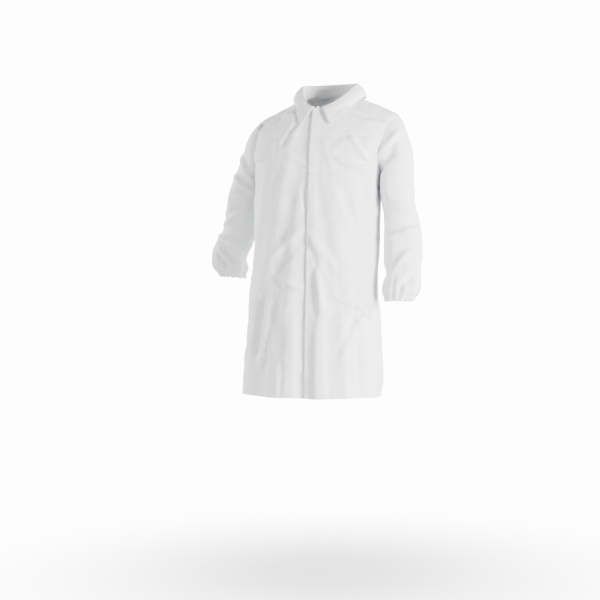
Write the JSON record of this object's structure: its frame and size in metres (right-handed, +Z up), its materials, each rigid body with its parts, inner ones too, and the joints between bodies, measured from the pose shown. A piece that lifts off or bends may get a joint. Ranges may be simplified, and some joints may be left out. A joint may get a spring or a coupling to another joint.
{
  "type": "lab coat",
  "caption": "Knee-length disposable lab coat in its worn shape: shirt collar, overlapping snap front, set-in sleeves with elastic wrists.",
  "frame": {"origin": "centre of the neck opening at the height where the shoulder seams meet the neck", "axes": "+Z up the wearer's body, -Y the way the wearer faces, +X to the wearer's left"},
  "size_m": [0.756, 0.339, 1.0182],
  "materials": {
    "nonwoven_cloth": "matte",
    "wrist_elastic": "matte",
    "snap_plastic": "satin",
    "label_tape": "satin"
  },
  "bodies": {
    "root": {"back_panel": "nonwoven_cloth", "back_hem": "nonwoven_cloth", "collar_stand": "nonwoven_cloth", "collar_leaf": "nonwoven_cloth", "neck_tape": "nonwoven_cloth", "neck_label": "label_tape", "snap_cap_1": "snap_plastic", "snap_socket_1": "snap_plastic", "snap_stud_1": "snap_plastic", "snap_ring_1": "snap_plastic", "left_front_yoke": "nonwoven_cloth", "left_facing_upper": "nonwoven_cloth", "left_side_seam": "nonwoven_cloth", "left_shoulder_seam": "nonwoven_cloth", "right_front_yoke": "nonwoven_cloth", "right_facing_upper": "nonwoven_cloth", "right_side_seam": "nonwoven_cloth", "right_shoulder_seam": "nonwoven_cloth"},
    "left_front": {"left_front_skirt": "nonwoven_cloth", "left_facing_lower": "nonwoven_cloth", "left_front_hem": "nonwoven_cloth", "snap_cap_2": "snap_plastic", "snap_socket_2": "snap_plastic", "snap_cap_3": "snap_plastic", "snap_socket_3": "snap_plastic", "snap_cap_4": "snap_plastic", "snap_socket_4": "snap_plastic"},
    "left_upper_sleeve": {"left_sleeve_upper": "nonwoven_cloth"},
    "left_lower_sleeve": {"left_sleeve_lower": "nonwoven_cloth", "left_cuff_casing": "nonwoven_cloth", "left_wrist_elastic": "wrist_elastic"},
    "left_point": {"left_collar_point": "nonwoven_cloth"},
    "right_front": {"right_front_skirt": "nonwoven_cloth", "right_facing_lower": "nonwoven_cloth", "right_front_hem": "nonwoven_cloth", "snap_stud_2": "snap_plastic", "snap_ring_2": "snap_plastic", "snap_stud_3": "snap_plastic", "snap_ring_3": "snap_plastic", "snap_stud_4": "snap_plastic", "snap_ring_4": "snap_plastic"},
    "right_upper_sleeve": {"right_sleeve_upper": "nonwoven_cloth"},
    "right_lower_sleeve": {"right_sleeve_lower": "nonwoven_cloth", "right_cuff_casing": "nonwoven_cloth", "right_wrist_elastic": "wrist_elastic"},
    "right_point": {"right_collar_point": "nonwoven_cloth"}
  },
  "joints": [
    {"name": "left_front_opening", "type": "hinge", "parent": "root", "child": "left_front", "pos_m": [0.179, -0.002, -0.59], "axis": [0, 0, 1], "range_deg": [0, 20]},
    {"name": "right_front_opening", "type": "hinge", "parent": "root", "child": "right_front", "pos_m": [-0.252, -0.002, -0.215], "axis": [0.0623, 0, 0.9981], "range_deg": [-9, 0]},
    {"name": "left_arm_raise", "type": "hinge", "parent": "root", "child": "left_upper_sleeve", "pos_m": [0.22, 0.01, -0.05], "axis": [0, -1, 0], "range_deg": [0, 45]},
    {"name": "right_arm_raise", "type": "hinge", "parent": "root", "child": "right_upper_sleeve", "pos_m": [-0.22, 0.01, -0.05], "axis": [0, 1, 0], "range_deg": [0, 45]},
    {"name": "left_elbow_bend", "type": "hinge", "parent": "left_upper_sleeve", "child": "left_lower_sleeve", "pos_m": [0.2275, -0.06, -0.338], "axis": [-0.9887, 0, -0.1498], "range_deg": [0, 70]},
    {"name": "right_elbow_bend", "type": "hinge", "parent": "right_upper_sleeve", "child": "right_lower_sleeve", "pos_m": [-0.311, -0.018, -0.302], "axis": [-0.9615, 0, 0.2747], "range_deg": [0, 70]},
    {"name": "left_collar_lift", "type": "hinge", "parent": "root", "child": "left_point", "pos_m": [-0.007, -0.103, -0.032], "axis": [-0.89, -0.45, -0.073], "range_deg": [0, 34]},
    {"name": "right_collar_lift", "type": "hinge", "parent": "root", "child": "right_point", "pos_m": [-0.013, -0.103, -0.032], "axis": [-0.8536, 0.5143, 0.0831], "range_deg": [0, 34]}
  ],
  "couplings": [
    {"joint": "right_front_opening", "follows": "left_front_opening", "ratio": -0.45}
  ]
}
